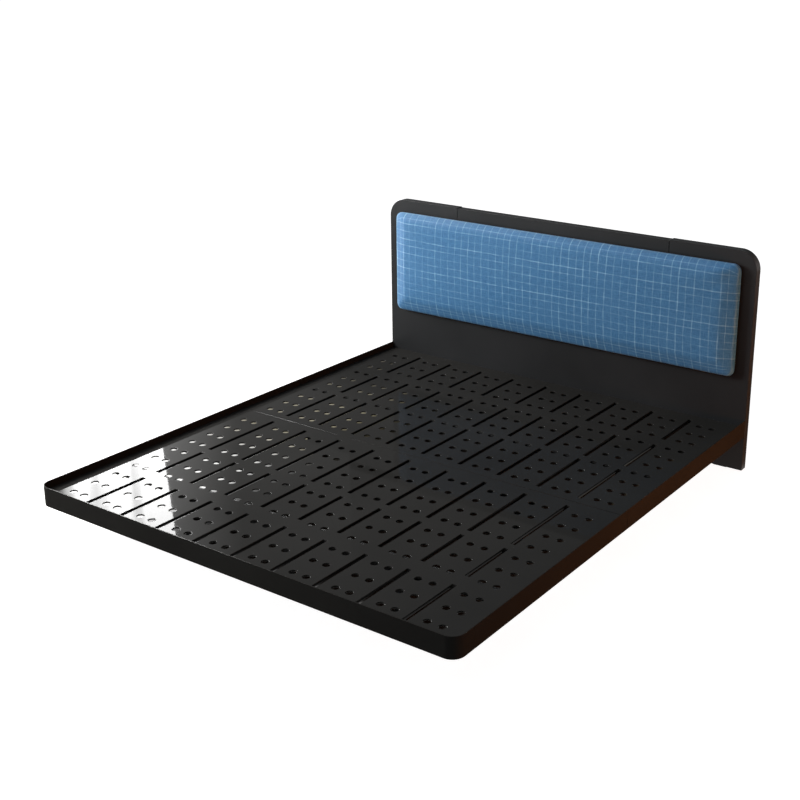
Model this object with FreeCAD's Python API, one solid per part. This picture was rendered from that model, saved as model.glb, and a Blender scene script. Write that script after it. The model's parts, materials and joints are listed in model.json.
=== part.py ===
import FreeCAD, Part
import math
import os

from FreeCAD import Vector

# A steel floating bed: a perforated two-part deck inside a low apron, on recessed leg frames,
# with a hollow sheet-steel headboard that carries an upholstered cushion.
# X runs across the bed, +Y from the foot to the headboard, +Z up. The origin is on the floor
# under the middle of the bed. All lengths are in millimetres.

# Platform
platform_width = 1830.0
platform_length = 2060.0
deck_height = 200.0
lip_height = 27.0
apron_height = 75.0
apron_thickness = 4.0
apron_corner_radius = 45.0
apron_corner_return = 45.0
split_from_foot = 1032.0
split_gap = 1.0

# Deck sheets, with slots that have a turned-down collar and holes in pairs between them
deck_sheet = 2.0
deck_edge_gap = 0.5
slot_pitch = 175.0
slot_width = 17.0
slot_collar_depth = 8.5
slot_collar_sheet = 1.5
slot_clearance = 1.5
slot_end_from_headboard = 52.0
hole_flats = 8
hole_width = 26.0
hole_pair_spacing = 56.0
hole_row_pitch = 95.8
hole_land = 10.0
foot_first_hole_row = 68.8
head_first_hole_row = 61.3

# Members of the two half frames; the shares place a tube along its own half
frame_depth = 25.0
frame_wall = 2.0
rail_width = 30.0
end_tube_width = 30.0
cross_tube_width = 30.0
leg_tube_width = 60.0
joint_channel_width = 36.0
channel_wall = 3.0
foot_leg_tube_share = 0.321
foot_cross_tube_share = 0.592
head_cross_tube_share = 0.358
head_leg_tube_share = 0.66
gusset_thickness = 4.0

# Recessed leg frames
leg_beam_length = 1060.0
leg_beam_width = 60.0
leg_beam_depth = 40.0
leg_width = 50.0
leg_inset = 25.0
leg_wall = 2.0
glide_thickness = 6.0
glide_stem_length = 20.0
glide_clearance = 0.3

# Headboard
headboard_height = 935.0
headboard_thickness = 40.0
headboard_corner_radius = 80.0
headboard_sheet = 1.5
headboard_gap = 0.3
cap_height = 135.0
cap_seam_spread = 530.0
cap_seam_gap = 2.0
centre_cap_drop = 3.0
post_width = 40.0
post_wall = 1.5
post_margin = 100.0
foot_rail_height = 30.0
splice_rail_height = 30.0
headboard_glide_thickness = 4.0
headboard_glide_length = 60.0
headboard_glide_width = 30.0

# Cushion on its plywood backboard; the shares are parts of its depth and of its edge rounding
cushion_width = 1696.0
cushion_height = 462.0
cushion_below_top = 56.0
cushion_depth = 51.0
cushion_corner_radius = 30.0
cushion_edge_rounding = 46.0
cushion_depth_shares = (0.0, 0.3, 0.68, 0.9, 1.0)
cushion_rounding_shares = (0.12, 0.0, 0.22, 0.7, 2.2)
backboard_thickness = 9.0
backboard_inset = 10.0
cushion_bolt_spread = 640.0
cushion_bolt_inset = 60.0
cushion_bolt_pitch = 260.0
cushion_bolt_clearance = 0.5

# Bolts and nuts
bolt_diameter = 8.0
bolt_clearance = 1.0
bolt_head_width = 13.0
bolt_head_height = 5.3
nut_height = 6.5
bolt_tail = 2.0
bolt_flats = 6
joint_bolt_inner_spread = 200.0
joint_bolt_outer_spread = 600.0

# One overrun for every cut
overrun = 5.0

# Levels and places worked out from the sizes above
half_width = platform_width / 2
foot_y = -(platform_length + headboard_thickness) / 2
head_y = foot_y + platform_length
back_y = head_y + headboard_thickness
split_y = foot_y + split_from_foot
foot_panel_end = split_y - split_gap / 2
head_panel_start = split_y + split_gap / 2
inner_half = half_width - apron_thickness
inner_foot_y = foot_y + apron_thickness
inner_corner_radius = apron_corner_radius - apron_thickness
corner_centre_x = half_width - apron_corner_radius
corner_centre_y = foot_y + apron_corner_radius
rail_inner_half = inner_half - rail_width
apron_bottom = deck_height + lip_height - apron_height
frame_top = deck_height - deck_sheet
frame_bottom = frame_top - frame_depth
leg_beam_bottom = frame_bottom - leg_beam_depth
bolt_level = frame_bottom + frame_depth / 2
head_half_length = head_y - split_y
foot_leg_y = foot_y + foot_leg_tube_share * split_from_foot
foot_cross_y = foot_y + foot_cross_tube_share * split_from_foot
head_cross_y = split_y + head_cross_tube_share * head_half_length
head_leg_y = split_y + head_leg_tube_share * head_half_length
headboard_base = headboard_glide_thickness
panel_front_y = head_y + headboard_sheet
panel_back_y = back_y - headboard_sheet
panel_half = half_width - headboard_sheet
cap_base = headboard_height - cap_height
foot_rail_top = headboard_base + foot_rail_height
splice_rail_bottom = cap_base - splice_rail_height / 2
outer_post_x = half_width - post_margin
cushion_back_y = head_y - backboard_thickness
cushion_top = headboard_height - cushion_below_top
cushion_bottom = cushion_top - cushion_height

parts = {}


def box(x0, x1, y0, y1, z0, z1):
    """A block between two corners."""
    return Part.makeBox(x1 - x0, y1 - y0, z1 - z0, Vector(x0, y0, z0))


def tube(x0, x1, y0, y1, z0, z1, wall, along):
    """A rectangular tube that is open at both ends along one axis."""
    grow = {axis: overrun if axis == along else -wall for axis in "xyz"}
    bore = box(x0 - grow["x"], x1 + grow["x"], y0 - grow["y"], y1 + grow["y"],
               z0 - grow["z"], z1 + grow["z"])
    return box(x0, x1, y0, y1, z0, z1).cut(bore)


def channel(x0, x1, y0, y1, z0, z1, wall, opening):
    """A channel section along X, whose web stands on the side away from its opening along Y."""
    inner = (y0 - overrun, y1 - wall) if opening < 0 else (y0 + wall, y1 + overrun)
    bore = box(x0 - overrun, x1 + overrun, *inner, z0 + wall, z1 - wall)
    return box(x0, x1, y0, y1, z0, z1).cut(bore)


def rectangle(x0, x1, y0, y1, z):
    """A rectangular wire in a level plane."""
    corners = [Vector(x0, y0, z), Vector(x1, y0, z), Vector(x1, y1, z), Vector(x0, y1, z)]
    return Part.makePolygon(corners + corners[:1])


def arc(centre, radius, first, last, upright=False):
    """An arc between two angles in degrees, in the level plane or in the upright XZ plane."""
    points = []
    for angle in (first, (first + last) / 2, last):
        across = radius * math.cos(math.radians(angle))
        along = radius * math.sin(math.radians(angle))
        points.append(centre + (Vector(across, 0, along) if upright else Vector(across, along, 0)))
    return Part.Arc(*points).toShape()


def foot_outline(half, near_y, far_y, radius, z):
    """The plan outline of the foot half, with its two foot corners rounded."""
    left = -half + radius
    right = half - radius
    turn_y = near_y + radius
    return Part.Wire([
        Part.makeLine(Vector(-half, far_y, z), Vector(-half, turn_y, z)),
        arc(Vector(left, turn_y, z), radius, 180, 270),
        Part.makeLine(Vector(left, near_y, z), Vector(right, near_y, z)),
        arc(Vector(right, turn_y, z), radius, 270, 360),
        Part.makeLine(Vector(half, turn_y, z), Vector(half, far_y, z)),
        Part.makeLine(Vector(half, far_y, z), Vector(-half, far_y, z)),
    ])


def cap_outline(half, base, top, radius, y):
    """The front outline of the headboard's top, with its two upper corners rounded."""
    left = -half + radius
    right = half - radius
    turn_z = top - radius
    return Part.Wire([
        Part.makeLine(Vector(-half, y, base), Vector(half, y, base)),
        Part.makeLine(Vector(half, y, base), Vector(half, y, turn_z)),
        arc(Vector(right, y, turn_z), radius, 0, 90, upright=True),
        Part.makeLine(Vector(right, y, top), Vector(left, y, top)),
        arc(Vector(left, y, turn_z), radius, 90, 180, upright=True),
        Part.makeLine(Vector(-half, y, turn_z), Vector(-half, y, base)),
    ])


def prism(wire, direction):
    """A solid drawn out of a closed flat wire."""
    return Part.Face(wire).extrude(direction)


def polygon_ring(sides, across_flats, x, y, z, turn):
    """The wire of a regular polygon in a level plane."""
    corner = across_flats / 2 / math.cos(math.pi / sides)
    ring = []
    for k in range(sides):
        angle = 2 * math.pi * (k + turn) / sides
        ring.append(Vector(x + corner * math.cos(angle), y + corner * math.sin(angle), z))
    return Part.makePolygon(ring + ring[:1])


def rod(sides, across_flats, seat, axis, height):
    """A prism with a regular polygon as its section, standing on its seat along an axis."""
    body = prism(polygon_ring(sides, across_flats, 0, 0, 0, 0), Vector(0, 0, height))
    body.Placement = FreeCAD.Placement(seat, FreeCAD.Rotation(Vector(0, 0, 1), axis))
    return body


def bolt(seat, axis, length):
    """A hexagon bolt whose head bears on its seat and whose shank points along the axis."""
    head = rod(6, bolt_head_width, seat, axis * -1, bolt_head_height)
    return head.fuse(rod(bolt_flats, bolt_diameter, seat, axis, length)).removeSplitter()


def nut(seat, axis):
    """A hexagon nut that bears on its seat."""
    bore = rod(bolt_flats, bolt_diameter, seat - axis * overrun, axis, nut_height + 2 * overrun)
    return rod(6, bolt_head_width, seat, axis, nut_height).cut(bore)


def drill(names, seat, axis, length):
    """A clearance hole for one bolt through the named parts."""
    hole = rod(bolt_flats, bolt_diameter + bolt_clearance, seat, axis, length)
    for name in names:
        parts[name] = parts[name].cut(hole)


def copies_within(reach, pitch, first):
    """The places of a pattern that starts at the first place and ends within its reach."""
    return [first + k * pitch for k in range(int((reach - first) / pitch) + 1)]


def mirrored(places):
    """The same places on both sides of the middle."""
    return sorted({side * place for side in (-1, 1) for place in places})


def slot_columns():
    """The slots' places across the deck, clear of the side rails."""
    reach = rail_inner_half - slot_width / 2 - slot_collar_sheet - slot_clearance
    return mirrored(copies_within(reach, slot_pitch, 0))


def hole_columns():
    """The middles of the hole pairs across the deck, halfway between slots."""
    reach = rail_inner_half - hole_land - (hole_pair_spacing + hole_width) / 2
    return mirrored(copies_within(reach, slot_pitch, slot_pitch / 2))


def deck_panel(outline, first_row, last_row_reach, spans):
    """One deck sheet with its hole pairs, its slots and the collar turned down round each slot."""
    openings = []
    for y in copies_within(last_row_reach - hole_land - hole_width / 2, hole_row_pitch, first_row):
        for middle in hole_columns():
            for side in (-1, 1):
                x = middle + side * hole_pair_spacing / 2
                openings.append(polygon_ring(hole_flats, hole_width, x, y, frame_top, 0.5))
    collars = []
    for x in slot_columns():
        for y0, y1 in spans:
            edges = (x - slot_width / 2, x + slot_width / 2, y0, y1)
            openings.append(rectangle(*edges, frame_top))
            wall = slot_collar_sheet
            rim = rectangle(edges[0] - wall, edges[1] + wall, y0 - wall, y1 + wall, frame_top)
            ring = Part.makeFace([rim, rectangle(*edges, frame_top)], "Part::FaceMakerCheese")
            collars.append(ring.extrude(Vector(0, 0, -slot_collar_depth)))
    sheet = Part.makeFace([outline] + openings, "Part::FaceMakerCheese")
    return sheet.extrude(Vector(0, 0, deck_sheet)).fuse(collars).removeSplitter()


def slot_spans(edges):
    """The slots' ends, set back from each pair of tube faces that they lie between."""
    setback = slot_collar_sheet + slot_clearance
    return [(y0 + setback, y1 - setback) for y0, y1 in edges]


# Deck: one perforated sheet on each half frame
foot_spans = slot_spans([
    (inner_foot_y + end_tube_width, foot_leg_y - leg_tube_width / 2),
    (foot_leg_y + leg_tube_width / 2, foot_cross_y - cross_tube_width / 2),
    (foot_cross_y + cross_tube_width / 2, split_y - joint_channel_width),
])
head_spans = slot_spans([
    (split_y + joint_channel_width, head_cross_y - cross_tube_width / 2),
    (head_cross_y + cross_tube_width / 2, head_leg_y - leg_tube_width / 2),
    (head_leg_y + leg_tube_width / 2, head_y - slot_end_from_headboard),
])
deck_half = inner_half - deck_edge_gap
parts["deck_panel_foot"] = deck_panel(
    foot_outline(deck_half, inner_foot_y + deck_edge_gap, foot_panel_end,
                 inner_corner_radius - deck_edge_gap, frame_top),
    inner_foot_y + foot_first_hole_row, foot_panel_end - joint_channel_width, foot_spans)
parts["deck_panel_head"] = deck_panel(
    rectangle(-deck_half, deck_half, head_panel_start, head_y - deck_edge_gap, frame_top),
    split_y + head_first_hole_row, head_y - end_tube_width, head_spans)

# Apron: a strip bent round both foot corners, and straight strips along the sides
apron_rise = Vector(0, 0, apron_height)
return_end = corner_centre_y + apron_corner_return
wrap = prism(foot_outline(half_width, foot_y, return_end, apron_corner_radius, apron_bottom), apron_rise)
inside = prism(foot_outline(inner_half, inner_foot_y, return_end + overrun, inner_corner_radius,
                            apron_bottom), apron_rise)
parts["apron_foot"] = wrap.cut(inside)
apron_spans = {"apron_foot": (return_end, foot_panel_end), "apron_head": (head_panel_start, head_y)}
for half, (y0, y1) in apron_spans.items():
    strip = (y0, y1, apron_bottom, apron_bottom + apron_height)
    parts[half + "_left"] = box(-half_width, -inner_half, *strip)
    parts[half + "_right"] = box(inner_half, half_width, *strip)

# Half frames: side rails, with cross tubes and channels butted between them
rail_spans = {"foot": (corner_centre_y, split_y), "head": (split_y, head_y)}
for half, (y0, y1) in rail_spans.items():
    reach = (y0, y1, frame_bottom, frame_top, frame_wall, "y")
    parts[half + "_frame_left_rail"] = tube(-inner_half, -rail_inner_half, *reach)
    parts[half + "_frame_right_rail"] = tube(rail_inner_half, inner_half, *reach)

cross_tubes = {
    "foot_frame_end_tube": (corner_centre_x, inner_foot_y, end_tube_width),
    "foot_frame_leg_tube": (rail_inner_half, foot_leg_y - leg_tube_width / 2, leg_tube_width),
    "foot_frame_cross_tube": (rail_inner_half, foot_cross_y - cross_tube_width / 2, cross_tube_width),
    "head_frame_cross_tube": (rail_inner_half, head_cross_y - cross_tube_width / 2, cross_tube_width),
    "head_frame_leg_tube": (rail_inner_half, head_leg_y - leg_tube_width / 2, leg_tube_width),
}
for name, (half, y0, width) in cross_tubes.items():
    parts[name] = tube(-half, half, y0, y0 + width, frame_bottom, frame_top, frame_wall, "x")
channels = {
    "foot_frame_joint_channel": (split_y - joint_channel_width, split_y, -1),
    "head_frame_joint_channel": (split_y, split_y + joint_channel_width, 1),
    "head_frame_end_channel": (head_y - end_tube_width, head_y, -1),
}
for name, (y0, y1, opening) in channels.items():
    parts[name] = channel(-rail_inner_half, rail_inner_half, y0, y1, frame_bottom, frame_top,
                          channel_wall, opening)

# Corner gussets: quarter plates welded between end tube and side rail in the rounded corners
gussets = []
for side, first in ((-1, 180), (1, 270)):
    centre = Vector(side * corner_centre_x, corner_centre_y, frame_top - gusset_thickness)
    edge = arc(centre, inner_corner_radius, first, first + 90)
    start, end = [edge.valueAt(p) for p in edge.ParameterRange]
    sector = Part.Wire([edge, Part.makeLine(end, centre), Part.makeLine(centre, start)])
    gussets.append(prism(sector, Vector(0, 0, gusset_thickness)))
parts["corner_gussets"] = Part.makeCompound(gussets)

# Leg frames: three beams welded under the frames, each on three legs with plastic glides
beam_places = {"foot": foot_leg_y, "middle": split_y, "head": head_leg_y}
outer_leg_x = leg_beam_length / 2 - leg_inset - leg_width / 2
leg_places = {"left": -outer_leg_x, "centre": 0.0, "right": outer_leg_x}
leg_half = leg_width / 2
stem_half = leg_half - leg_wall - glide_clearance
glides = []
for row, y in beam_places.items():
    parts["leg_beam_" + row] = tube(-leg_beam_length / 2, leg_beam_length / 2,
                                    y - leg_beam_width / 2, y + leg_beam_width / 2,
                                    leg_beam_bottom, frame_bottom, frame_wall, "x")
    for side, x in leg_places.items():
        around = (x - leg_half, x + leg_half, y - leg_half, y + leg_half)
        parts["leg_" + row + "_" + side] = tube(*around, glide_thickness, leg_beam_bottom,
                                                leg_wall, "z")
        pad = box(*around, 0, glide_thickness)
        stem = box(x - stem_half, x + stem_half, y - stem_half, y + stem_half,
                   glide_thickness, glide_thickness + glide_stem_length)
        glides.append(pad.fuse(stem).removeSplitter())
parts["leg_glides"] = Part.makeCompound(glides)

# Headboard body: a folded front panel, a back panel set between its returns, and rails and posts
front_block = box(-half_width, half_width, head_y, back_y, headboard_base, cap_base)
front_hollow = box(-panel_half, panel_half, panel_front_y, back_y + overrun,
                   headboard_base - overrun, cap_base + overrun)
parts["headboard_front_panel"] = front_block.cut(front_hollow)
parts["headboard_back_panel"] = box(-panel_half + headboard_gap, panel_half - headboard_gap,
                                    panel_back_y, back_y, headboard_base, cap_base)
parts["headboard_foot_rail"] = tube(-panel_half, panel_half, panel_front_y, panel_back_y,
                                    headboard_base, foot_rail_top, post_wall, "x")
parts["headboard_splice_rail"] = tube(-panel_half, panel_half, panel_front_y, panel_back_y,
                                      splice_rail_bottom, splice_rail_bottom + splice_rail_height,
                                      post_wall, "x")
post_places = {"left": -outer_post_x, "inner_left": -cap_seam_spread,
               "inner_right": cap_seam_spread, "right": outer_post_x}
for side, x in post_places.items():
    parts["headboard_post_" + side] = tube(x - post_width / 2, x + post_width / 2,
                                           panel_front_y, panel_back_y,
                                           foot_rail_top, splice_rail_bottom, post_wall, "z")

# Headboard top: three hollow caps over the splice rail, the middle one a little lower
cap_shell = prism(cap_outline(half_width, cap_base, headboard_height, headboard_corner_radius, head_y),
                  Vector(0, headboard_thickness, 0))
cap_hollow = prism(cap_outline(panel_half, cap_base - overrun, headboard_height - headboard_sheet,
                               headboard_corner_radius - headboard_sheet, panel_front_y),
                   Vector(0, panel_back_y - panel_front_y, 0))
end_caps = cap_shell.cut(cap_hollow)
seam_inner = cap_seam_spread - cap_seam_gap / 2
seam_outer = cap_seam_spread + cap_seam_gap / 2
seam_cut = (head_y - overrun, back_y + overrun, cap_base - overrun, headboard_height + overrun)
parts["headboard_cap_left"] = end_caps.common(box(-half_width - overrun, -seam_outer, *seam_cut))
parts["headboard_cap_right"] = end_caps.common(box(seam_outer, half_width + overrun, *seam_cut))
centre_top = headboard_height - centre_cap_drop
centre_block = box(-seam_inner, seam_inner, head_y, back_y, cap_base, centre_top)
centre_hollow = box(-seam_inner - overrun, seam_inner + overrun, panel_front_y, panel_back_y,
                    cap_base - overrun, centre_top - headboard_sheet)
parts["headboard_cap_centre"] = centre_block.cut(centre_hollow)

# Glides under the headboard, one below each post
headboard_glides = []
glide_y = (head_y + back_y) / 2
for x in post_places.values():
    headboard_glides.append(box(x - headboard_glide_length / 2, x + headboard_glide_length / 2,
                                glide_y - headboard_glide_width / 2,
                                glide_y + headboard_glide_width / 2, 0, headboard_base))
parts["headboard_glides"] = Part.makeCompound(headboard_glides)


def cushion_section(rounding_share, depth_share):
    """One upright rounded rectangle of the cushion, drawn in by a share of its edge rounding."""
    inset = rounding_share * cushion_edge_rounding
    radius = cushion_corner_radius + inset / 2
    y = cushion_back_y - depth_share * cushion_depth
    half = cushion_width / 2 - inset
    base = cushion_bottom + inset
    top = cushion_top - inset
    left = -half + radius
    right = half - radius
    low = base + radius
    high = top - radius
    return Part.Wire([
        Part.makeLine(Vector(left, y, base), Vector(right, y, base)),
        arc(Vector(right, y, low), radius, -90, 0, upright=True),
        Part.makeLine(Vector(half, y, low), Vector(half, y, high)),
        arc(Vector(right, y, high), radius, 0, 90, upright=True),
        Part.makeLine(Vector(right, y, top), Vector(left, y, top)),
        arc(Vector(left, y, high), radius, 90, 180, upright=True),
        Part.makeLine(Vector(-half, y, high), Vector(-half, y, low)),
        arc(Vector(left, y, low), radius, 180, 270, upright=True),
    ])


# Cushion: drawn in at its back edge, full at the sides and crowned towards the front
sections = zip(cushion_rounding_shares, cushion_depth_shares)
parts["cushion"] = Part.makeLoft([cushion_section(*shares) for shares in sections], True, True)
parts["cushion_backboard"] = box(-cushion_width / 2 + backboard_inset, cushion_width / 2 - backboard_inset,
                                 cushion_back_y, head_y, cushion_bottom + backboard_inset,
                                 cushion_top - backboard_inset)

# Cushion bolts: put in from inside the headboard, through its front panel into the backboard
cushion_bolts = []
low_bolt_z = cushion_bottom + cushion_bolt_inset
for z in (low_bolt_z, low_bolt_z + cushion_bolt_pitch):
    for x in (-cushion_bolt_spread, cushion_bolt_spread):
        seat = Vector(x, panel_front_y, z)
        grip = headboard_sheet + backboard_thickness
        cushion_bolts.append(bolt(seat, Vector(0, -1, 0), grip - cushion_bolt_clearance))
        drill(["headboard_front_panel", "cushion_backboard"], seat, Vector(0, -1, 0), grip)
parts["cushion_bolts"] = Part.makeCompound(cushion_bolts)

# Joint bolts: through the webs of the two joint channels, which lie face to face
joint_bolts = []
joint_nuts = []
for x in mirrored([joint_bolt_inner_spread, joint_bolt_outer_spread]):
    seat = Vector(x, split_y - channel_wall, bolt_level)
    grip = 2 * channel_wall
    joint_bolts.append(bolt(seat, Vector(0, 1, 0), grip + nut_height + bolt_tail))
    joint_nuts.append(nut(Vector(x, split_y + channel_wall, bolt_level), Vector(0, 1, 0)))
    drill(["foot_frame_joint_channel", "head_frame_joint_channel"], seat, Vector(0, 1, 0), grip)
parts["joint_bolts"] = Part.makeCompound(joint_bolts)
parts["joint_nuts"] = Part.makeCompound(joint_nuts)

# Headboard bolts: from the head end channel through the front panel into each post
headboard_bolts = []
headboard_nuts = []
post_skin_y = panel_front_y + post_wall
for side, x in post_places.items():
    seat = Vector(x, head_y - channel_wall, bolt_level)
    grip = post_skin_y - seat.y
    headboard_bolts.append(bolt(seat, Vector(0, 1, 0), grip + nut_height + bolt_tail))
    headboard_nuts.append(nut(Vector(x, post_skin_y, bolt_level), Vector(0, 1, 0)))
    drill(["head_frame_end_channel", "headboard_front_panel", "headboard_post_" + side],
          seat, Vector(0, 1, 0), grip)
parts["headboard_bolts"] = Part.makeCompound(headboard_bolts)
parts["headboard_nuts"] = Part.makeCompound(headboard_nuts)

# One file for each node
os.makedirs("parts", exist_ok=True)
for name, shape in parts.items():
    shape.exportStep("parts/" + name + ".step")
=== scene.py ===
import json
import math

import bmesh
import bpy
from mathutils import Matrix, Vector, noise


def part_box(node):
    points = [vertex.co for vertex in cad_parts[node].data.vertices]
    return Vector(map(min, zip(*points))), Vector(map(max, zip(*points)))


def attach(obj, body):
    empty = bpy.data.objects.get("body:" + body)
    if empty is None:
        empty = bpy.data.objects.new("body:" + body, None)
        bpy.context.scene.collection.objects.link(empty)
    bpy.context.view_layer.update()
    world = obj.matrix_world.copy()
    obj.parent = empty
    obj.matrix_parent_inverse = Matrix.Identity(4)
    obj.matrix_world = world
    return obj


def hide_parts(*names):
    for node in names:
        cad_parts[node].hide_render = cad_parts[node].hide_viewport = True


# Looks of the floating bed: painted steel with a glossy perforated deck, and a cushion in check cloth.
# Lengths are in metres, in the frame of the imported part.

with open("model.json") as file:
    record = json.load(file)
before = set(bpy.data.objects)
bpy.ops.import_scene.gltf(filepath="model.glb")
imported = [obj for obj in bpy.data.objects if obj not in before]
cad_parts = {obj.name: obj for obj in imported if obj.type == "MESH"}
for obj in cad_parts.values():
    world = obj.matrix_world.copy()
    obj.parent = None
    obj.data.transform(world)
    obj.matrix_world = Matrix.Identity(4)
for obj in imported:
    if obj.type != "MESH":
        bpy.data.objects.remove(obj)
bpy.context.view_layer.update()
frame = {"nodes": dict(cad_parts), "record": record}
nodes = frame["nodes"]
scene = bpy.context.scene

X, Y, Z = 0, 1, 2


def span(node, axis):
    """Where a node starts and ends along an axis, to the nearest micrometre."""
    return [round(corner[axis], 6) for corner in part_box(node)]


# The bed
bed_half = span("apron_foot", X)[1]
bed_foot = span("apron_foot", Y)[0]
bed_back = span("headboard_back_panel", Y)[1]

# Deck sheets, slots and holes, as in the part
deck_half = span("deck_panel_foot", X)[1]
foot_edge, foot_end = span("deck_panel_foot", Y)
head_start, head_edge = span("deck_panel_head", Y)
collar_foot, deck_top = span("deck_panel_foot", Z)
sheet = 0.002
corner_radius = 0.0405
slot_pitch = 0.175
slots_each_side = 4
slot_half = 0.0085
slot_depth = deck_top - collar_foot
slot_setback = 0.003
last_slot_end = head_edge - 0.0515
hole_radius = 0.013
hole_depth = 0.005
hole_spacing = 0.056
hole_pairs_each_side = 5
hole_rows = 10
row_pitch = 0.0958
foot_first_row = foot_edge + 0.0683
head_first_row = head_start + 0.0608
collar = 0.0015

# Rims and edges of the deck, which only the looks have; the profile holds insets and levels
rim_radius = 0.0012
rim_land = 0.0008
slot_corner = 0.002
hole_sides = 24
edge_profile = [(0.0016, 0.0), (0.0008, 0.0), (0.0002, -0.0003), (0.0, -0.0008), (0.0, -sheet)]

# Widths of the bevels that stand for the bends and worn edges of each finish
soft_edges = {"apron_black": 0.0007, "frame_black": 0.0012, "headboard_black": 0.0009,
              "glide_plastic": 0.0010, "zinc_steel": 0.0003, "plywood": 0.0004}
weld_distance = 0.00002
flat_angle = math.radians(0.5)
edge_angle = math.radians(35)

# The cushion: its cover stands a little proud of the foam in front, at the sides, above and below
cushion_lo, cushion_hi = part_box("cushion")
cushion_front = cushion_lo.y - 0.010
cushion_side = 0.0135
cushion_over = 0.0045
cushion_under = 0.0080
cushion_half = (cushion_hi.x - cushion_lo.x) / 2
cushion_tall = (cushion_hi.z - cushion_lo.z) / 2
cushion_middle = (cushion_hi.z + cushion_lo.z) / 2
edge_round = 0.036
# The part of the cover behind this line is held on the backboard
held = cushion_hi.y - 0.016
# How far the cover lies in from its outline, and how far in front of the backboard
cover_profile = [
    (0.0055, 0.0), (0.0012, 0.0060), (0.0000, 0.0130), (0.0008, 0.0190), (0.0040, 0.0243),
    (0.0100, 0.0278), (0.0300, 0.0352), (0.0500, 0.0426), (0.0640, 0.0476), (0.0740, 0.0500),
    (0.0900, 0.0518), (0.1200, 0.0532), (0.1600, 0.0540),
]
# The stuffing rounds the cushion off further at its sides and lower edge than at its upper one
side_ease, under_ease, over_ease = 0.92, 0.90, 0.33
outer_corner, least_corner, corner_shrink = 0.030, 0.021, 0.3
voxel = 0.008
cloth_feel = {"quality": 4, "mass": 0.35, "tension_stiffness": 80, "compression_stiffness": 80,
              "shear_stiffness": 40, "bending_stiffness": 12, "use_pressure": True,
              "uniform_pressure_force": 2.5, "vertex_group_mass": "pinned"}
last_frame = 20
# The foam is firm, so only this share of the cloth's swelling stays
swell_share = 0.20

white = (1, 1, 1, 1)


# Helpers for nodes and objects
class Nodes:
    """A short way to build one node tree."""

    def __init__(self, tree):
        self.tree = tree
        tree.nodes.clear()

    def add(self, kind, **values):
        node = self.tree.nodes.new(kind)
        for key, value in values.items():
            setattr(node, key, value)
        return node

    def link(self, source, target):
        self.tree.links.new(source, target)

    def put(self, socket, value):
        if isinstance(value, bpy.types.NodeSocket):
            self.link(value, socket)
        elif value is not None:
            socket.default_value = value

    def math(self, operation, a, b=None, c=None, clamp=False):
        node = self.add("ShaderNodeMath", operation=operation, use_clamp=clamp)
        for socket, value in zip(node.inputs, (a, b, c)):
            self.put(socket, value)
        return node.outputs[0]

    def plus(self, a, b):
        return self.math("ADD", a, b)

    def minus(self, a, b):
        return self.math("SUBTRACT", a, b)

    def times(self, a, b):
        return self.math("MULTIPLY", a, b)

    def larger(self, a, b):
        return self.math("MAXIMUM", a, b)

    def noise(self, vector, scale=1.0, detail=2.0, rough=0.5):
        node = self.add("ShaderNodeTexNoise")
        self.put(node.inputs["Vector"], vector)
        node.inputs["Scale"].default_value = scale
        node.inputs["Detail"].default_value = detail
        node.inputs["Roughness"].default_value = rough
        return node.outputs["Fac"]

    def remap(self, value, a, b, c=0.0, d=1.0, kind="LINEAR"):
        """Takes the range from a to b into that from c to d, and stops at its ends."""
        node = self.add("ShaderNodeMapRange", interpolation_type=kind, clamp=True)
        for socket, number in zip(node.inputs, (value, a, b, c, d)):
            self.put(socket, number)
        return node.outputs[0]

    def ease(self, value, a, b, c=0.0, d=1.0):
        """The same, with soft ends."""
        return self.remap(value, a, b, c, d, "SMOOTHSTEP")

    def blend(self, factor, a, b):
        node = self.add("ShaderNodeMix", data_type="RGBA")
        self.put(node.inputs["Factor"], factor)
        for socket, value in zip([s for s in node.inputs if s.type == "RGBA"], (a, b)):
            self.put(socket, value)
        return [s for s in node.outputs if s.type == "RGBA"][0]

    def split(self, vector):
        """The three coordinates of a vector."""
        node = self.add("ShaderNodeSeparateXYZ")
        self.put(node.inputs[0], vector)
        return node.outputs

    def join(self, *coordinates):
        """A vector of three coordinates; one given with a scale is multiplied by it."""
        scaled = [self.times(*c) if isinstance(c, tuple) else c for c in coordinates]
        node = self.add("ShaderNodeCombineXYZ")
        for socket, value in zip(node.inputs, scaled):
            self.put(socket, value)
        return node.outputs[0]

    def bump(self, height, distance, strength=1.0):
        """A normal that is bent as by a relief of this height."""
        node = self.add("ShaderNodeBump")
        node.inputs["Distance"].default_value = distance
        node.inputs["Strength"].default_value = strength
        self.put(node.inputs["Height"], height)
        return node.outputs[0]

    def shader(self, kind, colour=None, strength=None):
        """A simple shader, left as it is where nothing is given."""
        node = self.add(kind)
        self.put(node.inputs["Color"], colour)
        if strength is not None:
            self.put(node.inputs["Strength"], strength)
        return node.outputs[0]

    def add_shaders(self, a, b):
        node = self.add("ShaderNodeAddShader")
        self.link(a, node.inputs[0])
        self.link(b, node.inputs[1])
        return node.outputs[0]

    def mix_shaders(self, factor, a, b):
        node = self.add("ShaderNodeMixShader")
        for socket, value in zip(node.inputs, (factor, a, b)):
            self.put(socket, value)
        return node.outputs[0]


def blank_material(name):
    """A new material, its nodes, its output and the place that is being shaded."""
    made = bpy.data.materials.new(name)
    made.use_nodes = True
    n = Nodes(made.node_tree)
    out = n.add("ShaderNodeOutputMaterial")
    return made, n, out, n.add("ShaderNodeNewGeometry").outputs["Position"]


def material(name):
    """A new material with a Principled shader, its nodes, that shader and the place."""
    made, n, out, place = blank_material(name)
    shader = n.add("ShaderNodeBsdfPrincipled")
    n.link(shader.outputs[0], out.inputs["Surface"])
    return made, n, shader, place


def add_object(name, data):
    obj = bpy.data.objects.new(name, data)
    scene.collection.objects.link(obj)
    return obj


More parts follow.
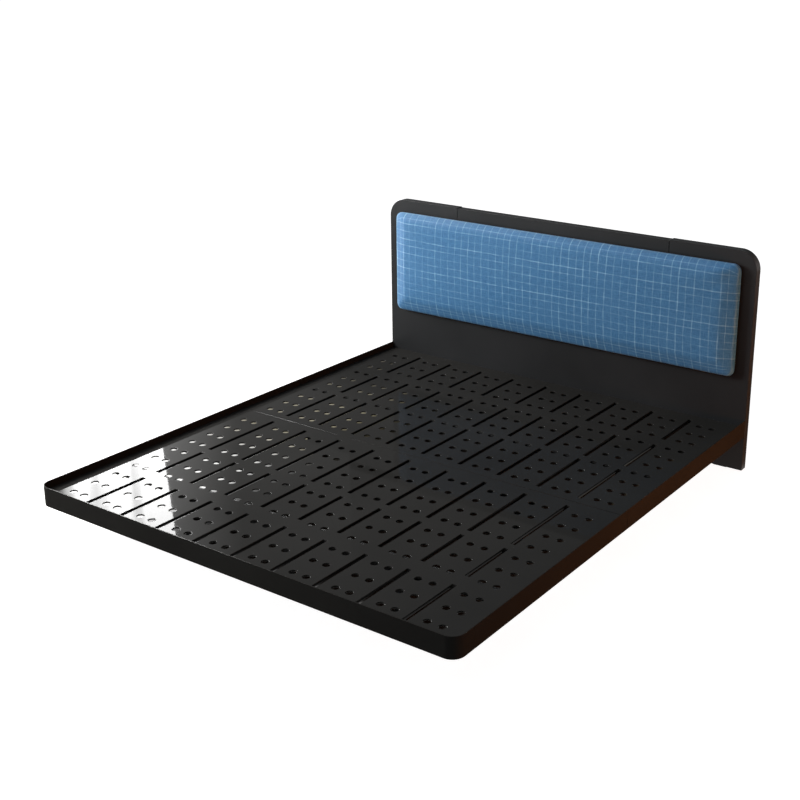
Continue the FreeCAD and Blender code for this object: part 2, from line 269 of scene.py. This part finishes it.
def add_mesh(name, bm):
    """An object of a finished bmesh, with all faces turned outward; the bmesh is freed."""
    bmesh.ops.recalc_face_normals(bm, faces=bm.faces)
    mesh = bpy.data.meshes.new(name)
    bm.to_mesh(mesh)
    bm.free()
    return add_object(name, mesh)


# Finishes
def rgba(colour):
    return (*colour, 1.0)


def paint(name, colour, roughness, spread, specular, peel=0.00002, peel_scale=420.0):
    """Baked powder paint: faint orange peel, cloudy gloss and a little dust."""
    dust_gain, dust_lift = 1.25, 0.0006
    made, n, shader, place = material(name)
    cloud = n.noise(place, scale=2.3, detail=3.0)
    grain = n.noise(place, scale=peel_scale, detail=1.0)
    speck = n.noise(place, scale=1400.0, detail=0.0)
    dusty = tuple(c * dust_gain + dust_lift for c in colour)
    n.put(shader.inputs["Base Color"], n.blend(n.remap(cloud, 0.3, 0.7), rgba(colour), rgba(dusty)))
    mixed = n.plus(n.times(cloud, 0.7), n.times(speck, 0.3))
    n.put(shader.inputs["Roughness"], n.remap(mixed, 0.3, 0.7, roughness - spread, roughness + spread))
    shader.inputs["Specular IOR Level"].default_value = specular
    n.put(shader.inputs["Normal"], n.bump(grain, peel))
    return made


def zinc():
    """Zinc-plated steel with a soft crystalline variation."""
    dark, pale = (0.42, 0.43, 0.45, 1), (0.62, 0.63, 0.64, 1)
    made, n, shader, place = material("zinc_steel")
    cells = n.noise(place, scale=700.0, detail=3.0)
    n.put(shader.inputs["Base Color"], n.blend(n.remap(cells, 0.35, 0.65), dark, pale))
    n.put(shader.inputs["Roughness"], n.remap(cells, 0.3, 0.7, 0.28, 0.42))
    shader.inputs["Metallic"].default_value = 1.0
    return made


def plastic():
    """Matte moulded plastic."""
    dark, pale = (0.010, 0.010, 0.010, 1), (0.018, 0.018, 0.019, 1)
    made, n, shader, place = material("glide_plastic")
    fine = n.noise(place, scale=900.0)
    n.put(shader.inputs["Base Color"], n.blend(n.remap(fine, 0.4, 0.6), dark, pale))
    n.put(shader.inputs["Roughness"], n.remap(fine, 0.3, 0.7, 0.55, 0.7))
    n.put(shader.inputs["Normal"], n.bump(fine, 0.00005))
    return made


def plywood():
    """Birch plywood: long grain across the face and thin plies at the edges."""
    dark, pale = (0.36, 0.22, 0.11, 1), (0.58, 0.42, 0.25, 1)
    plies_per_metre = 666.0
    made, n, shader, place = material("plywood")
    x, y, z = n.split(place)
    grain = n.noise(n.join((x, 3.0), (y, 40.0), (z, 60.0)), detail=5.0, rough=0.6)
    plies = n.math("FRACT", n.times(y, plies_per_metre))
    tone = n.plus(n.times(grain, 0.8), n.times(plies, 0.2))
    n.put(shader.inputs["Base Color"], n.blend(n.remap(tone, 0.3, 0.75), dark, pale))
    n.put(shader.inputs["Roughness"], n.remap(grain, 0.3, 0.7, 0.55, 0.75))
    n.put(shader.inputs["Normal"], n.bump(grain, 0.0001))
    return made


def check_threads(n, across, along, pitch, seed):
    """The strength of the check's pale threads in one direction, and the yarn's own slubs."""
    count = n.times(across, 1.0 / pitch)
    lane = n.math("FLOOR", count)
    chance = n.add("ShaderNodeTexWhiteNoise", noise_dimensions="2D")
    n.put(chance.inputs["Vector"], n.join(lane, seed, 0.0))
    # Each lane holds one thread near its middle, with a faint halo
    middle = n.remap(n.split(chance.outputs["Color"])[1], 0.0, 1.0, 0.42, 0.58)
    gap = n.math("ABSOLUTE", n.minus(n.math("FRACT", count), middle))
    line = n.ease(gap, 0.075, 0.020)
    halo = n.ease(gap, 0.16, 0.02, 0.0, 0.30)
    # Some threads are stronger than others, and each comes and goes along its way
    own = n.math("MULTIPLY_ADD", n.math("POWER", chance.outputs["Value"], 2.0), 0.50, 0.42)
    patch = n.noise(n.join((lane, 5.3), (along, 13.0), seed), detail=3.0)
    fleck = n.noise(n.join((across, 300.0), (along, 60.0), seed))
    level = n.times(own, n.remap(patch, 0.36, 0.64, 0.30, 1.15))
    level = n.times(level, n.remap(fleck, 0.3, 0.6, 0.55, 1.0))
    slub = n.noise(n.join((across, 620.0), (along, 38.0), seed), detail=3.0, rough=0.6)
    return n.times(n.larger(line, halo), level), slub


def check_cloth():
    """Slubby linen with a thin pale windowpane check, drawn along the cloth by its own coordinates."""
    dark_ground, pale_ground = (0.016, 0.092, 0.228, 1), (0.058, 0.182, 0.350, 1)
    worn_ground = (0.060, 0.165, 0.31, 1)
    line_colour, crossing_colour = (0.215, 0.42, 0.60, 1), (0.40, 0.62, 0.80, 1)
    pitch_u, pitch_v, weave_pitch = 0.037, 0.0345, 0.0016
    made, n, shader, _ = material("check_fabric")
    cloth = n.add("ShaderNodeAttribute", attribute_name="cloth").outputs["Vector"]
    # The threads don't run quite straight
    wander = n.noise(cloth, scale=5.0)
    wobble = n.noise(cloth, scale=38.0, detail=1.0)
    u, v, _ = n.split(cloth)
    drift = n.plus(n.times(n.minus(wander, 0.5), 0.012), n.times(n.minus(wobble, 0.5), 0.0022))
    u = n.plus(u, drift)
    v = n.minus(v, n.times(drift, 0.7))
    lines_u, slub_u = check_threads(n, u, v, pitch_u, seed=3.1)
    lines_v, slub_v = check_threads(n, v, u, pitch_v, seed=7.7)
    weave_u, weave_v = [n.math("SINE", n.times(way, 2 * math.pi / weave_pitch)) for way in (u, v)]
    slub = n.plus(n.times(slub_u, 0.5), n.times(slub_v, 0.5))
    ground = n.blend(n.remap(slub, 0.38, 0.62), dark_ground, pale_ground)
    ground = n.blend(n.remap(wander, 0.3, 0.7, 0.0, 0.20), ground, worn_ground)
    check = n.math("ADD", lines_u, lines_v, clamp=True)
    colour = n.blend(n.times(check, 0.80), ground, line_colour)
    colour = n.blend(n.times(n.times(lines_u, lines_v), 0.6), colour, crossing_colour)
    n.put(shader.inputs["Base Color"], colour)
    n.put(shader.inputs["Roughness"], n.remap(slub, 0.3, 0.7, 0.75, 0.92))
    shader.inputs["Specular IOR Level"].default_value = 0.25
    shader.inputs["Sheen Weight"].default_value = 0.08
    shader.inputs["Sheen Roughness"].default_value = 0.45
    shader.inputs["Sheen Tint"].default_value = (0.75, 0.87, 1.0, 1.0)
    relief = n.plus(n.times(slub, 1.6), n.times(n.times(weave_u, weave_v), 0.25))
    relief = n.plus(relief, n.times(check, 0.5))
    n.put(shader.inputs["Normal"], n.bump(relief, 0.0003, 0.8))
    return made


finishes = {
    "deck_black": paint("deck_black", (0.0200, 0.0198, 0.0191), roughness=0.035, spread=0.012,
                        specular=0.0092, peel=0.000002, peel_scale=160.0),
    "apron_black": paint("apron_black", (0.0168, 0.0163, 0.0152), roughness=0.24, spread=0.05,
                         specular=0.008),
    "frame_black": paint("frame_black", (0.0080, 0.0080, 0.0080), roughness=0.50, spread=0.08,
                         specular=0.02),
    "headboard_black": paint("headboard_black", (0.0140, 0.0150, 0.0163), roughness=0.36, spread=0.06,
                             specular=0.15),
    "check_fabric": check_cloth(),
    "plywood": plywood(),
    "glide_plastic": plastic(),
    "zinc_steel": zinc(),
}


# Finishes and soft edges on the solids
def soften_edges(obj, width):
    """Clears the facets of flat and round faces and bevels the edges that are left."""
    if "custom_normal" in obj.data.attributes:
        obj.data.attributes.remove(obj.data.attributes["custom_normal"])
    obj.data.shade_smooth()
    weld = obj.modifiers.new("weld", "WELD")
    weld.merge_threshold = weld_distance
    flat = obj.modifiers.new("flat", "DECIMATE")
    flat.decimate_type = "DISSOLVE"
    flat.angle_limit = flat_angle
    round_off = obj.modifiers.new("edges", "BEVEL")
    round_off.width = width
    round_off.segments = 2
    round_off.limit_method = "ANGLE"
    round_off.angle_limit = edge_angle
    round_off.harden_normals = True


slot_of = {s["node"]: s["material_slot"] for s in frame["record"]["subparts"]}
for name, obj in nodes.items():
    finish = slot_of[name]
    obj.data.materials.clear()
    obj.data.materials.append(finishes[finish])
    if finish in soft_edges:
        soften_edges(obj, soft_edges[finish])


# Deck sheets with round, collared openings
def circle(x, y, radius, z, count):
    turns = [2 * math.pi * k / count for k in range(count)]
    return [Vector((x + radius * math.cos(turn), y + radius * math.sin(turn), z)) for turn in turns]


def rounded(x0, x1, y0, y1, radii, z):
    """A level rectangle with its own radius at each corner, counter-clockwise from the lower right."""
    large_radius, steps, large_steps = 0.02, 4, 12
    points = []
    corners = ((x1, y0, -90, -1, 1), (x1, y1, 0, -1, -1), (x0, y1, 90, 1, -1), (x0, y0, 180, 1, 1))
    for (cx, cy, first, sx, sy), radius in zip(corners, radii):
        if radius <= 0:
            points.append(Vector((cx, cy, z)))
            continue
        count = large_steps if radius > large_radius else steps
        for k in range(count + 1):
            angle = math.radians(first + 90.0 * k / count)
            points.append(Vector((cx + sx * radius + radius * math.cos(angle),
                                  cy + sy * radius + radius * math.sin(angle), z)))
    return points


def skin(bm, loops):
    """Joins each loop of points to the next with a band of faces, and returns the rings of vertices."""
    rings = [[bm.verts.new(p) for p in loop] for loop in loops]
    for a, b in zip(rings, rings[1:]):
        for k in range(len(a)):
            m = (k + 1) % len(a)
            bm.faces.new((a[k], a[m], b[m], b[k]))
    return rings


def rim_profile(depth):
    """Offsets from an opening's edge and levels: land, rounded rim, wall, and a deep one's collar."""
    foot_bevel, under_bevel, least_collar = 0.0004, 0.0003, 0.001
    points = [(rim_radius + rim_land, 0.0)]
    for step in range(4):
        angle = math.radians(30 * step)
        points.append((rim_radius * (1 - math.sin(angle)), -rim_radius * (1 - math.cos(angle))))
    if depth > sheet + least_collar:
        points += [(0.0, -depth + foot_bevel), (foot_bevel, -depth), (collar, -depth), (collar, -sheet)]
    else:
        points += [(0.0, -sheet + under_bevel), (under_bevel, -sheet)]
    return points


def sheet_outline(y0, y1, foot_radius):
    """The edge of one deck sheet, for any inset and level; only its foot corners can be round."""
    def outline(inset, z):
        r = foot_radius - inset
        return rounded(-deck_half + inset, deck_half - inset, y0 + inset, y1 - inset, [r, 0, 0, r], z)

    return outline


def slot_loop(x, y0, y1, out, down):
    """A slot's edge, grown by an offset, at a level below the deck's top."""
    half = slot_half + out
    return rounded(x - half, x + half, y0 - out, y1 + out, [slot_corner + out] * 4, deck_top + down)


def build_deck(name, node, outline, slots, holes):
    """One deck sheet: bands of faces down its edge and its openings, and flat faces between them."""
    borders = [[outline(inset, deck_top + z) for inset, z in edge_profile]]
    for x, y0, y1 in slots:
        borders.append([slot_loop(x, y0, y1, out, z) for out, z in rim_profile(slot_depth)])
    for x, y, depth in holes:
        borders.append([circle(x, y, hole_radius + out, deck_top + z, hole_sides)
                        for out, z in rim_profile(depth)])
    bm = bmesh.new()
    top_edges = []
    under_edges = []
    for loops in borders:
        rings = skin(bm, loops)
        for ring, edges in ((rings[0], top_edges), (rings[-1], under_edges)):
            for k in range(len(ring)):
                edges.append(bm.edges.get((ring[k], ring[(k + 1) % len(ring)])))
    bands = set(bm.faces)
    for edges in (top_edges, under_edges):
        bmesh.ops.triangle_fill(bm, use_beauty=True, use_dissolve=False, edges=edges)
    for face in bm.faces:
        face.smooth = face in bands
    obj = add_mesh(name, bm)
    obj.data.materials.append(finishes["deck_black"])
    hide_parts(node)
    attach(obj, "root")


def tube_spans(names):
    """Where each tube starts and ends along the bed."""
    return [span(name, Y) for name in names]


def gaps_between(tubes):
    return [(a[1], b[0]) for a, b in zip(tubes, tubes[1:])]


def slot_list(gaps):
    """Slots in the gaps between tubes, with the place across and both ends of each."""
    return [(k * slot_pitch, y0 + slot_setback, y1 - slot_setback)
            for k in range(-slots_each_side, slots_each_side + 1) for y0, y1 in gaps]


def hole_list(first, tubes):
    """Holes in rows of pairs; one over a tube has no collar."""
    reach = hole_radius + collar
    holes = []
    for row in range(hole_rows):
        y = first + row * row_pitch
        over = any(y + reach > a and y - reach < b for a, b in tubes)
        for k in range(-hole_pairs_each_side, hole_pairs_each_side):
            for side in (-1, 1):
                x = (k + 0.5) * slot_pitch + side * hole_spacing / 2
                holes.append((x, y, sheet if over else hole_depth))
    return holes


foot_tubes = tube_spans(["foot_frame_end_tube", "foot_frame_leg_tube", "foot_frame_cross_tube",
                         "foot_frame_joint_channel"])
head_tubes = tube_spans(["head_frame_joint_channel", "head_frame_cross_tube", "head_frame_leg_tube"])
head_gaps = gaps_between(head_tubes) + [(head_tubes[-1][1], last_slot_end)]
build_deck("deck_sheet_foot", "deck_panel_foot", sheet_outline(foot_edge, foot_end, corner_radius),
           slot_list(gaps_between(foot_tubes)), hole_list(foot_first_row, foot_tubes))
build_deck("deck_sheet_head", "deck_panel_head", sheet_outline(head_start, head_edge, 0.0),
           slot_list(head_gaps), hole_list(head_first_row, head_tubes))


# Cushion
def start_block():
    """The cushion's cover before its stuffing pushes it out."""
    x1 = cushion_hi.x + cushion_side
    z0 = cushion_lo.z - cushion_under
    z1 = cushion_hi.z + cushion_over
    bm = bmesh.new()
    loops = []
    for inward, depth in cover_profile:
        wide, low, high = inward * side_ease, inward * under_ease, inward * over_ease
        corner = max(outer_corner - inward * corner_shrink, least_corner)
        level = rounded(-x1 + wide, x1 - wide, z0 + low, z1 - high, [corner] * 4, 0.0)
        loops.append([(p.x, cushion_hi.y - depth, p.y) for p in level])
    rings = skin(bm, loops)
    bm.faces.new(rings[0])
    bm.faces.new(list(reversed(rings[-1])))
    return add_mesh("cushion_cover", bm)


def apply_modifier(obj, modifier):
    bpy.context.view_layer.objects.active = obj
    obj.select_set(True)
    bpy.ops.object.modifier_apply(modifier=modifier.name)
    obj.select_set(False)


def swell(obj):
    """Lets the pressure of the stuffing swell the cover by Blender's cloth, and keeps a share of it."""
    start = [v.co.copy() for v in obj.data.vertices]
    pinned = obj.vertex_groups.new(name="pinned")
    pinned.add([k for k, co in enumerate(start) if co.y > held], 1.0, "REPLACE")
    cloth = obj.modifiers.new("cloth", "CLOTH")
    for key, value in cloth_feel.items():
        setattr(cloth.settings, key, value)
    cloth.settings.effector_weights.gravity = 0.0
    cloth.collision_settings.use_collision = False
    cloth.point_cache.frame_start = 1
    cloth.point_cache.frame_end = last_frame
    for step in range(1, last_frame + 1):
        scene.frame_set(step)
    apply_modifier(obj, cloth)
    scene.frame_set(1)
    for vertex, co in zip(obj.data.vertices, start):
        vertex.co = co + (vertex.co - co) * swell_share


def stuff(obj):
    """Fills the cover: even cells, the swelling, a softer surface, and its front at its final place."""
    remesh = obj.modifiers.new("remesh", "REMESH")
    remesh.mode = "VOXEL"
    remesh.voxel_size = voxel
    apply_modifier(obj, remesh)
    swell(obj)
    soften = obj.modifiers.new("soften", "SMOOTH")
    soften.factor = 0.5
    soften.iterations = 6
    apply_modifier(obj, soften)
    front = min(v.co.y for v in obj.data.vertices)
    stretch = (held - cushion_front) / (held - front)
    for vertex in obj.data.vertices:
        if vertex.co.y < held:
            vertex.co.y = held - (held - vertex.co.y) * stretch


def cloth_coordinates(obj):
    """Stores how far each point lies along the cloth from the middle of the front, round the edges."""
    turn_y = cushion_front + edge_round

    def along(distance, reach, y):
        size = abs(distance)
        flat = reach - edge_round
        if size <= flat:
            return distance
        if y < turn_y:
            length = flat + edge_round * math.atan2(size - flat, turn_y - y)
        else:
            length = flat + edge_round * math.pi / 2 + (y - turn_y)
        return math.copysign(length, distance)

    layer = obj.data.attributes.new("cloth", "FLOAT_VECTOR", "POINT")
    for vertex, cell in zip(obj.data.vertices, layer.data):
        x, y, z = vertex.co
        cell.vector = (along(x, cushion_half, y), along(z - cushion_middle, cushion_tall, y), 0.0)


def pucker(obj):
    """Small pulls of the cloth where it is drawn round the foam's edges, and a hand-made front."""
    pull_reach, pull, pull_scale = 0.09, 0.0009, 17.0
    unevenness, uneven_scale_x, uneven_scale_z = 0.0007, 3.2, 5.0
    back = cushion_hi.y - 0.010
    for vertex in obj.data.vertices:
        x, y, z = vertex.co
        side = min(cushion_half - abs(x), cushion_tall - abs(z - cushion_middle))
        near = max(0.0, 1.0 - side / pull_reach)
        wave = noise.noise(Vector((x * pull_scale, 3.0, z * pull_scale))) * near * pull
        broad = noise.noise(Vector((x * uneven_scale_x, 9.0, z * uneven_scale_z))) * unevenness
        if y < back:
            vertex.co.y -= wave + broad * (1.0 - near * 0.6)


cushion = start_block()
stuff(cushion)
cloth_coordinates(cushion)
pucker(cushion)
cushion.data.shade_smooth()
cushion.data.materials.append(finishes["check_fabric"])
smooth = cushion.modifiers.new("subdivision", "SUBSURF")
smooth.levels = 1
smooth.render_levels = 1
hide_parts("cushion")
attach(cushion, "root")


# Floor and background
def flat_card(name, corners):
    """One flat face of the stage."""
    mesh = bpy.data.meshes.new(name)
    mesh.from_pydata(corners, [], [tuple(range(len(corners)))])
    obj = add_object(name, mesh)
    return obj


def looks_at_background(n):
    """1 for the rays that see the background as it is: the camera's, and those in gloss and glass."""
    path = n.add("ShaderNodeLightPath").outputs
    seen = n.larger(path["Is Camera Ray"], path["Is Transmission Ray"])
    return n.larger(seen, path["Is Glossy Ray"])


def make_floor():
    """White all round; under the bed, a little out on its left and behind its back, its cast shadow is
    deepened by painted shade, and a painted glow of light from the left lies under its left side, warmer
    towards the back.
    """
    radius, level_z, sides = 80.0, -0.0002, 48
    # In these pairs the floor holds painted shadow up to the first place and is white from the second
    right, slant, slant_start = (0.62, 0.77), 0.7, 1.0
    foot, left, back = (-0.71, -0.85), (-1.16, -1.34), (1.36, 1.78)
    # The tint that the painted light under the bed takes towards the back
    warm_white = (1.0, 0.88, 0.52, 1)
    # Matte tones: painted shadow under the bed, painted light where the glow from the left falls, and the
    # open floor
    deep, painted_light_tone, open_tone = (0.035, 0.032, 0.028, 1), (0.40, 0.40, 0.39, 1), (0.42, 0.42, 0.42, 1)
    open_lift, side_lift = 0.95, 0.72
    floor = flat_card("floor", circle(0.0, 0.0, radius, level_z, sides))
    made, n, out, place = blank_material("floor")
    x, y, _ = n.split(place)
    past_back = n.larger(n.minus(y, slant_start), 0.0)
    open_right = n.ease(n.math("MULTIPLY_ADD", past_back, slant, x), *right)
    open_floor = n.larger(n.larger(open_right, n.ease(y, *foot)), n.ease(x, *left))
    open_floor = n.larger(open_floor, n.ease(y, *back))
    # Painted light: a glow from the left painted in under the bed, less and less towards the headboard
    left_gap = n.math("POWER", n.remap(x, -0.50, -0.80), 1.6)
    depth = n.times(n.remap(y, -0.40, 0.22, 1.0, 0.22), n.remap(y, 0.66, 1.00, 1.0, 0.18))
    painted_side_light = n.times(left_gap, depth)
    tint = n.blend(n.remap(y, 0.0, 0.25), white, warm_white)
    # The lift whitens the open floor and adds the painted glow under the bed's left side
    level = n.larger(n.times(open_floor, open_lift), n.times(painted_side_light, side_lift))
    strength = n.times(looks_at_background(n), level)
    lift = n.shader("ShaderNodeEmission", n.blend(open_floor, tint, white), strength)
    # Painted shade under the bed, lightened where the painted glow from the left falls
    under = n.blend(painted_side_light, deep, painted_light_tone)
    matte = n.shader("ShaderNodeBsdfDiffuse", n.blend(open_floor, under, open_tone))
    n.link(n.add_shaders(matte, lift), out.inputs["Surface"])
    floor.data.materials.append(made)


def make_world():
    """A weak fill, cool from the left and dim from the right, before a white background."""
    cool, dim = (0.88, 0.95, 1.06, 1), (0.20, 0.18, 0.155, 1)
    fill_strength = 0.39
    world = bpy.data.worlds.new("studio")
    scene.world = world
    world.use_nodes = True
    n = Nodes(world.node_tree)
    out = n.add("ShaderNodeOutputWorld")
    side_x, _, _ = n.split(n.add("ShaderNodeTexCoord").outputs["Generated"])
    tone = n.blend(n.remap(side_x, -0.4, 0.7), cool, dim)
    fill = n.shader("ShaderNodeBackground", tone, fill_strength)
    plain = n.shader("ShaderNodeBackground", white, 1.0)
    n.link(n.mix_shaders(looks_at_background(n), fill, plain), out.inputs["Surface"])


make_floor()
make_world()


# Cards that only gloss sees
def reflected_only(obj):
    """Hides a card from all rays but the glossy ones, so that it lights nothing."""
    obj.visible_camera = False
    obj.visible_diffuse = False
    obj.visible_transmission = False
    obj.visible_volume_scatter = False
    obj.visible_shadow = False


def make_window():
    """A tall bright window with folded curtains, left of the headboard, that the glossy deck reflects."""
    card_x, (y0, y1), (z0, z1) = -2.96, (0.45, 2.60), (0.85, 2.9)
    # The pane's far edge leans: this much per metre up, and at this place at this height
    lean, edge_y, edge_z = 0.087, 1.30, 1.32
    fold_levels = (60.0, 92.0)
    halo_start, halo_level = 1.2, 6.5
    corners = ((y0, z0), (y1, z0), (y1, z1), (y0, z1))
    window = flat_card("window", [(card_x, y, z) for y, z in corners])
    reflected_only(window)
    made, n, out, place = blank_material("window")
    _, y, z = n.split(place)
    near_edge = n.ease(y, 0.50, 0.66)
    far_edge = n.math("MULTIPLY_ADD", z, lean, edge_y - lean * edge_z)
    pane = n.times(near_edge, n.math("LESS_THAN", y, far_edge))
    folds = n.noise(n.join(0.0, (y, 7.0), (z, 0.7)))
    bright = n.times(pane, n.remap(folds, 0.34, 0.50, *fold_levels))
    fade = n.math("POWER", n.remap(y, 1.28, 1.95, 1.0, 0.0), 1.3)
    halo = n.times(n.minus(1.0, pane), fade)
    halo = n.times(n.times(halo, n.math("GREATER_THAN", y, halo_start)), halo_level)
    glow = n.shader("ShaderNodeEmission", white, n.plus(bright, halo))
    n.link(n.add_shaders(glow, n.shader("ShaderNodeBsdfTransparent")), out.inputs["Surface"])
    window.data.materials.append(made)


def flag_haze(n, _, z):
    """Solid in the strip that the cap's top reflects, and elsewhere a haze that thins upwards."""
    strip = n.times(n.remap(z, 0.930, 0.940), n.remap(z, 0.975, 0.995, 1.0, 0.0))
    return n.larger(strip, n.ease(z, 1.00, 1.72, 0.42, 0.0))


def left_flag_haze(n, x, z):
    """Thins outwards and upwards beside the headboard."""
    return n.times(n.remap(x, -1.85, -1.35, 0.25, 1.0), n.remap(z, 0.42, 0.66, 0.92, 0.40))


def make_flag(name, x0, x1, z0, z1, opacity):
    """A dark upright card behind the headboard's plane, for the cap's top and the deck to reflect."""
    card_y = bed_back + 0.07
    dark = (0.045, 0.044, 0.040, 1)
    flag = flat_card(name, [(x0, card_y, z0), (x1, card_y, z0), (x1, card_y, z1), (x0, card_y, z1)])
    reflected_only(flag)
    made, n, out, place = blank_material(name)
    x, _, z = n.split(place)
    clear = n.shader("ShaderNodeBsdfTransparent")
    solid = n.shader("ShaderNodeEmission", dark)
    n.link(n.mix_shaders(opacity(n, x, z), clear, solid), out.inputs["Surface"])
    flag.data.materials.append(made)


def make_floor_card(name, x_span, y_span, axis, fade, tones):
    """A card on the floor for the upright faces to reflect, fading from its first tone to its second."""
    card_z = 0.001
    (x0, x1), (y0, y1) = x_span, y_span
    card = flat_card(name, [(x0, y0, card_z), (x1, y0, card_z), (x1, y1, card_z), (x0, y1, card_z)])
    reflected_only(card)
    made, n, out, place = blank_material(name)
    share = n.remap(n.split(place)[axis], *fade)
    n.link(n.shader("ShaderNodeEmission", n.blend(share, *tones), 1.0), out.inputs["Surface"])
    card.data.materials.append(made)


# The low cards begin just outside the bed
beside = bed_half + 0.015
in_front = bed_foot - 0.010
make_window()
make_flag("flag", -1.3, 1.3, 0.90, 1.75, flag_haze)
make_flag("left_flag", -2.1, -beside, 0.0, 0.90, left_flag_haze)
# Warm wood to the right, pale darkening to the right in front, grey to the left
make_floor_card("right_card", (beside, 4.5), (-1.6, 5.0), Y, (0.6, -1.2),
                ((0.12, 0.065, 0.035, 1), (0.16, 0.12, 0.085, 1)))
make_floor_card("foot_card", (-1.6, beside), (-2.1, in_front), X, (-1.1, 0.7),
                ((0.75, 0.75, 0.72, 1), (0.10, 0.09, 0.075, 1)))
make_floor_card("left_card", (-4.5, -beside), (-1.6, 3.0), Y, (0.6, -1.2),
                ((0.42, 0.42, 0.41, 1), (0.42, 0.42, 0.41, 1)))


# Lamps and camera
def area(name, place, aim, size, power, colour, in_gloss=False):
    data = bpy.data.lights.new(name, "AREA")
    data.shape = "RECTANGLE"
    data.size, data.size_y = size
    data.energy = power
    data.color = colour
    obj = add_object(name, data)
    obj.location = place
    obj.rotation_mode = "QUATERNION"
    obj.rotation_quaternion = (Vector(aim) - Vector(place)).to_track_quat("-Z", "Y")
    obj.visible_camera = False
    obj.visible_glossy = in_gloss


area("key", place=(-2.8, -1.5, 2.1), aim=(0.0, 0.6, 0.4), size=(1.4, 1.4), power=203.0,
     colour=(1.0, 0.978, 0.94), in_gloss=True)
area("side", place=(-2.8, 1.0, 1.3), aim=(-0.8, 0.3, 0.1), size=(1.0, 1.6), power=8.0,
     colour=(1.0, 0.99, 0.97))
area("warm", place=(2.7, 0.50, 0.28), aim=(0.9, 0.75, 0.50), size=(0.9, 0.3), power=35.0,
     colour=(1.0, 0.34, 0.11))
area("top", place=(-0.5, -0.9, 4.0), aim=(0.0, -0.4, 0.0), size=(3.0, 3.0), power=6.0,
     colour=(1.0, 1.0, 1.0))

# The camera, fitted to the photograph: angles in radians, focal length and shift in its pixels
picture_width, sensor_width = 800.0, 36.0
focal_pixels, shift_right, shift_up = 1259.091, -83.290, -57.332
yaw, pitch, roll = 0.589878, 0.312424, 0.009435
camera_data = bpy.data.cameras.new("camera")
camera = add_object("camera", camera_data)
scene.camera = camera
forward = Vector((-math.sin(yaw) * math.cos(pitch), math.cos(yaw) * math.cos(pitch), -math.sin(pitch)))
level_right = Vector((math.cos(yaw), math.sin(yaw), 0.0))
level_up = level_right.cross(forward)
right = math.cos(roll) * level_right + math.sin(roll) * level_up
up = -math.sin(roll) * level_right + math.cos(roll) * level_up
camera.rotation_mode = "QUATERNION"
camera.rotation_quaternion = Matrix((right, up, -forward)).transposed().to_quaternion()
camera.location = (2.7016, -3.5967, 2.1108)
camera_data.sensor_width = sensor_width
camera_data.lens = focal_pixels / picture_width * sensor_width
camera_data.shift_x = shift_right / picture_width
camera_data.shift_y = shift_up / picture_width
camera_data.clip_end = 200.0

scene.view_settings.view_transform = "Standard"
